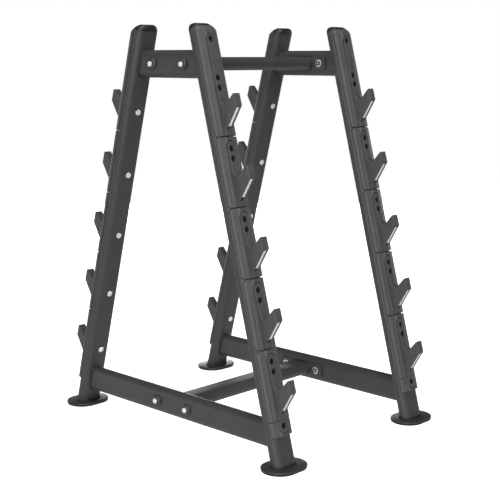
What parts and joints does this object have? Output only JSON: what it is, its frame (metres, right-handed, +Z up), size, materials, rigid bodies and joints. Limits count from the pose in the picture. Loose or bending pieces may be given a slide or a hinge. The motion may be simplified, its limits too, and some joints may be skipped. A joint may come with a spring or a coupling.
{
  "type": "barbell rack",
  "caption": "Free-standing double-sided A-frame rack that holds fixed barbells in hooks along its four leaning uprights.",
  "frame": {"origin": "on the floor, in the middle of the four feet", "axes": "+X across each A-frame towards the right-hand uprights, +Y from the front A-frame to the rear one, +Z up"},
  "size_m": [1.238, 0.922, 1.5323],
  "materials": {
    "upright_steel": "fine-textured charcoal powder coat",
    "crossbar_steel": "fine-textured charcoal powder coat",
    "beam_steel": "fine-textured charcoal powder coat",
    "foot_steel": "fine-textured charcoal powder coat",
    "cover_plastic": "moulded charcoal plastic, satin",
    "cap_plastic": "moulded plastic, soft gloss",
    "pad_rubber": "matte black rubber",
    "bolt_zinc": "bright zinc plate",
    "strip_steel": "bright zinc plate"
  },
  "bodies": {
    "root": {"beam_bolt_bottom_front_left": "bolt_zinc", "beam_bolt_bottom_front_right": "bolt_zinc", "beam_bolt_bottom_rear_left": "bolt_zinc", "beam_bolt_bottom_rear_right": "bolt_zinc", "beam_bolt_top_front_left": "bolt_zinc", "beam_bolt_top_front_right": "bolt_zinc", "beam_bolt_top_rear_left": "bolt_zinc", "beam_bolt_top_rear_right": "bolt_zinc", "beam_bottom": "beam_steel", "beam_top": "beam_steel", "cover_end_left_front": "cover_plastic", "cover_end_left_rear": "cover_plastic", "cover_end_right_front": "cover_plastic", "cover_end_right_rear": "cover_plastic", "crossbar_bottom_front": "crossbar_steel", "crossbar_bottom_rear": "crossbar_steel", "crossbar_top_front": "crossbar_steel", "crossbar_top_rear": "crossbar_steel", "foot_pad_left_front": "pad_rubber", "foot_pad_left_rear": "pad_rubber", "foot_pad_right_front": "pad_rubber", "foot_pad_right_rear": "pad_rubber", "foot_plate_left_front": "foot_steel", "foot_plate_left_rear": "foot_steel", "foot_plate_right_front": "foot_steel", "foot_plate_right_rear": "foot_steel", "hook_cover_left_front_1": "cover_plastic", "hook_cover_left_front_2": "cover_plastic", "hook_cover_left_front_3": "cover_plastic", "hook_cover_left_front_4": "cover_plastic", "hook_cover_left_front_5": "cover_plastic", "hook_cover_left_rear_1": "cover_plastic", "hook_cover_left_rear_2": "cover_plastic", "hook_cover_left_rear_3": "cover_plastic", "hook_cover_left_rear_4": "cover_plastic", "hook_cover_left_rear_5": "cover_plastic", "hook_cover_right_front_1": "cover_plastic", "hook_cover_right_front_2": "cover_plastic", "hook_cover_right_front_3": "cover_plastic", "hook_cover_right_front_4": "cover_plastic", "hook_cover_right_front_5": "cover_plastic", "hook_cover_right_rear_1": "cover_plastic", "hook_cover_right_rear_2": "cover_plastic", "hook_cover_right_rear_3": "cover_plastic", "hook_cover_right_rear_4": "cover_plastic", "hook_cover_right_rear_5": "cover_plastic", "hook_strip_left_front": "strip_steel", "hook_strip_left_rear": "strip_steel", "hook_strip_right_front": "strip_steel", "hook_strip_right_rear": "strip_steel", "top_cap_left_front": "cap_plastic", "top_cap_left_rear": "cap_plastic", "top_cap_right_front": "cap_plastic", "top_cap_right_rear": "cap_plastic", "upright_left_front": "upright_steel", "upright_left_rear": "upright_steel", "upright_right_front": "upright_steel", "upright_right_rear": "upright_steel"}
  },
  "joints": []
}
